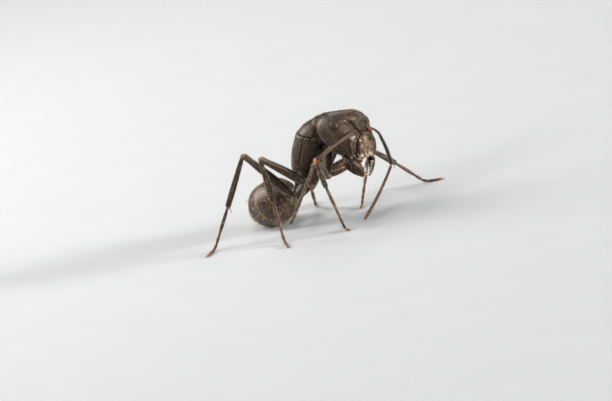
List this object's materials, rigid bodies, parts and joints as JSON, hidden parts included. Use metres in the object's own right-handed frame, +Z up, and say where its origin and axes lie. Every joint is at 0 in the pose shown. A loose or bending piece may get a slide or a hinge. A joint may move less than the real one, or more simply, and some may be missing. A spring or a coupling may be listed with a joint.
{
  "type": "carpenter ant",
  "caption": "Life-size still model of a large black carpenter ant worker, standing with its head bent down to feed.",
  "frame": {"origin": "on the floor, under the middle of the ant's footprint", "axes": "+Z up; the trunk heads along -Y, with the head turned down and to its right; the ant's left is +X and the gaster trails toward +Y and +X"},
  "size_m": [0.0096, 0.0108, 0.0061],
  "materials": {
    "black_cuticle": "glossy brown-black shell with fine leathery grain",
    "dark_brown_cuticle": "glossy dark brown shell",
    "reddish_cuticle": "satin reddish brown shell",
    "jaw": "glossy brown-black, redder at the teeth",
    "mouthpart": "soft amber brown",
    "eye": "black, finely faceted"
  },
  "bodies": {
    "root": {"eye_left": "eye", "eye_right": "eye", "front_coxa_left": "black_cuticle", "front_coxa_right": "black_cuticle", "front_femur_left": "dark_brown_cuticle", "front_femur_right": "dark_brown_cuticle", "front_tarsus_left": "reddish_cuticle", "front_tarsus_right": "reddish_cuticle", "front_tibia_left": "dark_brown_cuticle", "front_tibia_right": "dark_brown_cuticle", "funiculus_left": "reddish_cuticle", "funiculus_right": "reddish_cuticle", "gaster_1": "black_cuticle", "gaster_2": "black_cuticle", "gaster_3": "black_cuticle", "gaster_4": "black_cuticle", "gaster_5": "black_cuticle", "head": "black_cuticle", "hind_coxa_left": "black_cuticle", "hind_coxa_right": "black_cuticle", "hind_femur_left": "dark_brown_cuticle", "hind_femur_right": "dark_brown_cuticle", "hind_tarsus_left": "reddish_cuticle", "hind_tarsus_right": "reddish_cuticle", "hind_tibia_left": "dark_brown_cuticle", "hind_tibia_right": "dark_brown_cuticle", "mandible_left": "jaw", "mandible_right": "jaw", "mesonotum": "black_cuticle", "middle_coxa_left": "black_cuticle", "middle_coxa_right": "black_cuticle", "middle_femur_left": "dark_brown_cuticle", "middle_femur_right": "dark_brown_cuticle", "middle_tarsus_left": "reddish_cuticle", "middle_tarsus_right": "reddish_cuticle", "middle_tibia_left": "dark_brown_cuticle", "middle_tibia_right": "dark_brown_cuticle", "mouthparts": "mouthpart", "petiole": "black_cuticle", "pronotum": "black_cuticle", "propodeum": "black_cuticle", "scape_left": "dark_brown_cuticle", "scape_right": "dark_brown_cuticle"}
  },
  "joints": []
}
